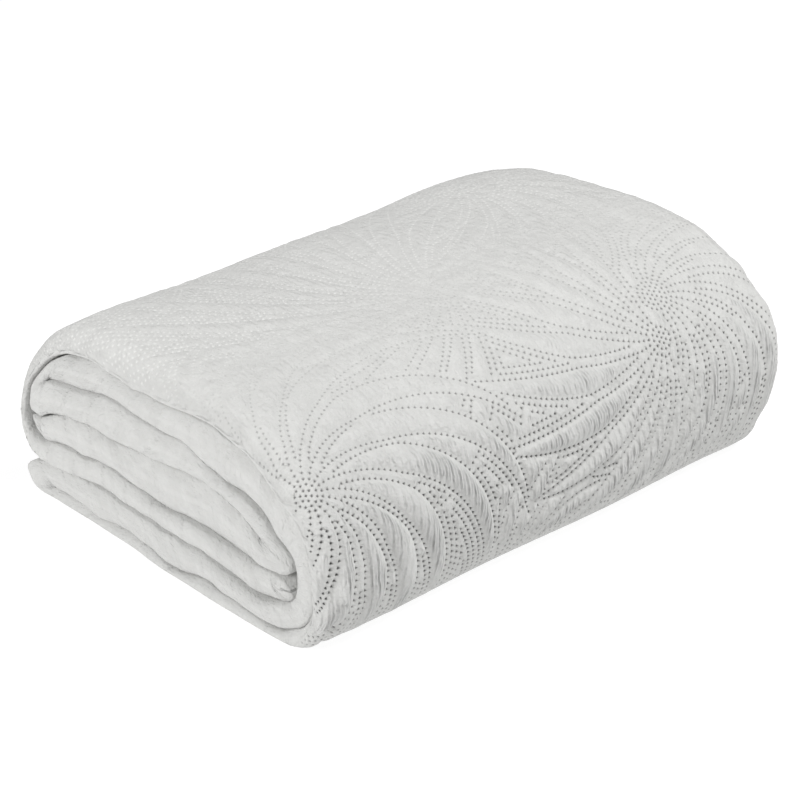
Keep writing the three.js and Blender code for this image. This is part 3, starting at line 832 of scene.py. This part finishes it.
def brushed_microfibre():
    """Brushed polyester microfibre, welded through to its filling.

    The fine nap scatters light softly. Gathers run up the front side between
    the rows, and each weld is a small pit of harder film, coloured with painted
    shade down the sides and a painted highlight on top.
    """
    material = bpy.data.materials.new("brushed_microfibre")
    material.use_nodes = True
    tree = material.node_tree
    tree.nodes.clear()

    place = add_node(tree, "Attribute", {"attribute_name": "flat_place"}, output="Vector")
    across = add_node(tree, "SeparateXYZ", links={"Vector": place}, output="X")
    along = add_node(tree, "SeparateXYZ", links={"Vector": place}, output="Y")
    weld = add_node(tree, "Attribute", {"attribute_name": "weld"}, output="Fac")
    gather = add_node(tree, "Attribute", {"attribute_name": "gather"}, output="Fac")
    band = add_node(tree, "Attribute", {"attribute_name": "band"}, output="Fac")

    # Welds get painted shade down the front side and the back, less of it at the foot, and a painted
    # highlight on top.
    low = add_node(tree, "MapRange", {"From Min": WELD_SHADE_TO_HIGHLIGHT[0], "From Max": WELD_SHADE_TO_HIGHLIGHT[1],
                                      "To Min": 1.0, "To Max": 0.0}, {"Value": across})
    back = add_node(tree, "MapRange", {"From Min": WELD_SHADE_AGAIN[0],
                                       "From Max": WELD_SHADE_AGAIN[1]}, {"Value": across})
    foot = add_node(tree, "MapRange", {"From Min": 0.0, "From Max": 0.05, "To Min": 0.3},
                    {"Value": across})
    painted_weld_shade = add_node(tree, "Math", {"operation": "MULTIPLY"}, {0: low, 1: foot})
    painted_weld_shade = add_node(tree, "Math", {"operation": "MAXIMUM"}, {0: painted_weld_shade, 1: back})
    dot = add_node(tree, "MapRange", {"From Min": 0.3, "From Max": 0.65}, {"Value": weld})

    # Rows of welds run over the folded edges too, in slightly wandering lines.
    drift = add_node(tree, "TexNoise", {"Scale": 9.0, "Detail": 0.0}, {"Vector": place})
    row = add_node(tree, "Math", {"operation": "MULTIPLY", 1: 1 / EDGE_ROW_PITCH}, {0: across})
    row = add_node(tree, "Math", {"operation": "MULTIPLY_ADD", 1: 1.7}, {0: drift, 2: row})
    row = add_node(tree, "Math", {"operation": "PINGPONG", 1: 0.5}, {0: row})
    step = add_node(tree, "Math", {"operation": "MULTIPLY", 1: 1000 / DOT_PITCH}, {0: along})
    step = add_node(tree, "Math", {"operation": "PINGPONG", 1: 0.5}, {0: step})
    in_row = add_node(tree, "MapRange", {"From Min": 0.045, "From Max": 0.02}, {"Value": row})
    in_step = add_node(tree, "MapRange", {"From Min": 0.3, "From Max": 0.16}, {"Value": step})
    edge_dot = add_node(tree, "Math", {"operation": "MULTIPLY"}, {0: in_row, 1: in_step})
    edge_dot = add_node(tree, "Math", {"operation": "MULTIPLY"}, {0: edge_dot, 1: band})

    clouds = add_node(tree, "TexNoise", {"Scale": 1 / CLOUD, "Detail": 5.0, "Roughness": 0.7},
                      {"Vector": place})
    tone = add_node(tree, "Mix", {"data_type": "RGBA", 6: linear(COVER_SHADE),
                                  7: linear(COVER_WHITE)}, {0: clouds}, 2)
    # Painted shade for welds on the sides, painted highlight for welds on top.
    weld_painted_light = add_node(tree, "Mix", {"data_type": "RGBA", 6: linear(WELD_PAINTED_HIGHLIGHT),
                                       7: linear(WELD_PAINTED_SHADE)}, {0: painted_weld_shade}, 2)
    # Share of that painted weld shade and highlight, at the welds and the rows over the edges.
    weld_paint_share = add_node(tree, "Math", {"operation": "MULTIPLY_ADD", 1: EDGE_DOT_TONE},
                       {0: edge_dot, 2: dot})
    colour = add_node(tree, "Mix", {"data_type": "RGBA"}, {0: weld_paint_share, 6: tone, 7: weld_painted_light}, 2)

    nap = add_node(tree, "TexNoise", {"Scale": 1 / NAP, "Detail": 3.0, "Roughness": 0.65},
                   {"Vector": place})
    fold = add_node(tree, "TexWave", {
        "bands_direction": "Y", "Scale": 0.314 / FINE_GATHER, "Distortion": 3.2, "Detail": 1.0,
        "Detail Scale": 0.55, "Detail Roughness": 0.5}, {"Vector": place}, "Fac")
    patches = add_node(tree, "TexNoise", {"Scale": 34.0, "Detail": 1.0}, {"Vector": place})
    patches = add_node(tree, "MapRange", {"From Min": 0.32, "From Max": 0.6, "To Min": 0.25},
                       {"Value": patches})
    fold = add_node(tree, "Math", {"operation": "SUBTRACT", 1: 0.5}, {0: fold})
    fold = add_node(tree, "Math", {"operation": "MULTIPLY"}, {0: fold, 1: patches})
    fold = add_node(tree, "Math", {"operation": "MULTIPLY"}, {0: fold, 1: gather})
    pucker = add_node(tree, "TexNoise", {"Scale": 1 / PUCKER, "Detail": 2.0}, {"Vector": place})
    pucker = add_node(tree, "Math", {"operation": "MULTIPLY_ADD", 1: EDGE_DOT_PIT},
                      {0: edge_dot, 2: pucker})
    soft = add_node(tree, "Bump", {"Strength": 1.0, "Distance": NAP_HEIGHT}, {"Height": nap})
    crumple = add_node(tree, "Bump", {"Strength": 1.0, "Distance": PUCKER_HEIGHT},
                       {"Height": pucker, "Normal": soft})
    gathers = add_node(tree, "Bump", {"Strength": 1.0, "Distance": GATHER_HEIGHT},
                       {"Height": fold, "Normal": crumple})
    surface = add_node(tree, "BsdfPrincipled", {
        "Roughness": 0.9, "Specular IOR Level": 0.3, "Sheen Weight": 0.12, "Sheen Roughness": 0.5,
    }, {"Base Color": colour, "Normal": gathers})
    add_node(tree, "OutputMaterial", links={"Surface": surface})
    return material


def light_table_acrylic():
    """White opal acrylic lit from below, so the bundle throws next to no shadow."""
    material = bpy.data.materials.new("light_table_acrylic")
    material.use_nodes = True
    surface = material.node_tree.nodes["Principled BSDF"]
    surface.inputs["Base Color"].default_value = linear(TABLE_GREY)
    surface.inputs["Roughness"].default_value = 0.9
    surface.inputs["Emission Color"].default_value = (1, 1, 1, 1)
    surface.inputs["Emission Strength"].default_value = TABLE_GLOW
    return material


# The studio.
def lay_floor():
    mesh = bpy.data.meshes.new("studio_floor")
    r = 30.0
    mesh.from_pydata([(-r, -r, 0), (r, -r, 0), (r, r, 0), (-r, r, 0)], [], [(0, 1, 2, 3)])
    floor = bpy.data.objects.new("studio_floor", mesh)
    floor.location.z = -0.0005
    bpy.context.collection.objects.link(floor)
    mesh.materials.append(light_table_acrylic())


def hang_light(name, place, size, power):
    data = bpy.data.lights.new(name, "AREA")
    data.shape = "RECTANGLE"
    data.size, data.size_y = size
    data.energy = power
    light = bpy.data.objects.new(name, data)
    light.location = place
    light.rotation_euler = (Vector(LIGHT_AIM) - Vector(place)).to_track_quat("-Z", "Y").to_euler()
    bpy.context.collection.objects.link(light)


def light_studio():
    for name, light in SOFT_BOXES.items():
        hang_light(name, *light)
    world = bpy.data.worlds.new("studio_world")
    world.use_nodes = True
    world.node_tree.nodes["Background"].inputs["Color"].default_value = (1, 1, 1, 1)
    world.node_tree.nodes["Background"].inputs["Strength"].default_value = WORLD_LIGHT
    bpy.context.scene.world = world
    bpy.context.scene.view_settings.view_transform = "Standard"


def set_camera():
    azimuth, elevation = math.radians(AZIMUTH), math.radians(ELEVATION)
    target = Vector((TARGET[0] - MIDDLE[0], TARGET[1] - MIDDLE[1], TARGET[2])) / 1000
    back = Vector((math.sin(azimuth) * math.cos(elevation), -math.cos(azimuth) * math.cos(elevation),
                   math.sin(elevation)))
    data = bpy.data.cameras.new("photo_camera")
    data.sensor_width = SENSOR_WIDTH
    data.lens = LENS
    camera = bpy.data.objects.new("photo_camera", data)
    camera.location = target + back * DISTANCE
    camera.rotation_euler = (-back).to_track_quat("-Z", "Y").to_euler()
    bpy.context.collection.objects.link(camera)
    bpy.context.scene.camera = camera


set_camera()
lay_floor()
light_studio()
bedspread = build_bedspread()
bedspread.data.materials.append(brushed_microfibre())
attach(bedspread, "root")
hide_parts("bedspread")
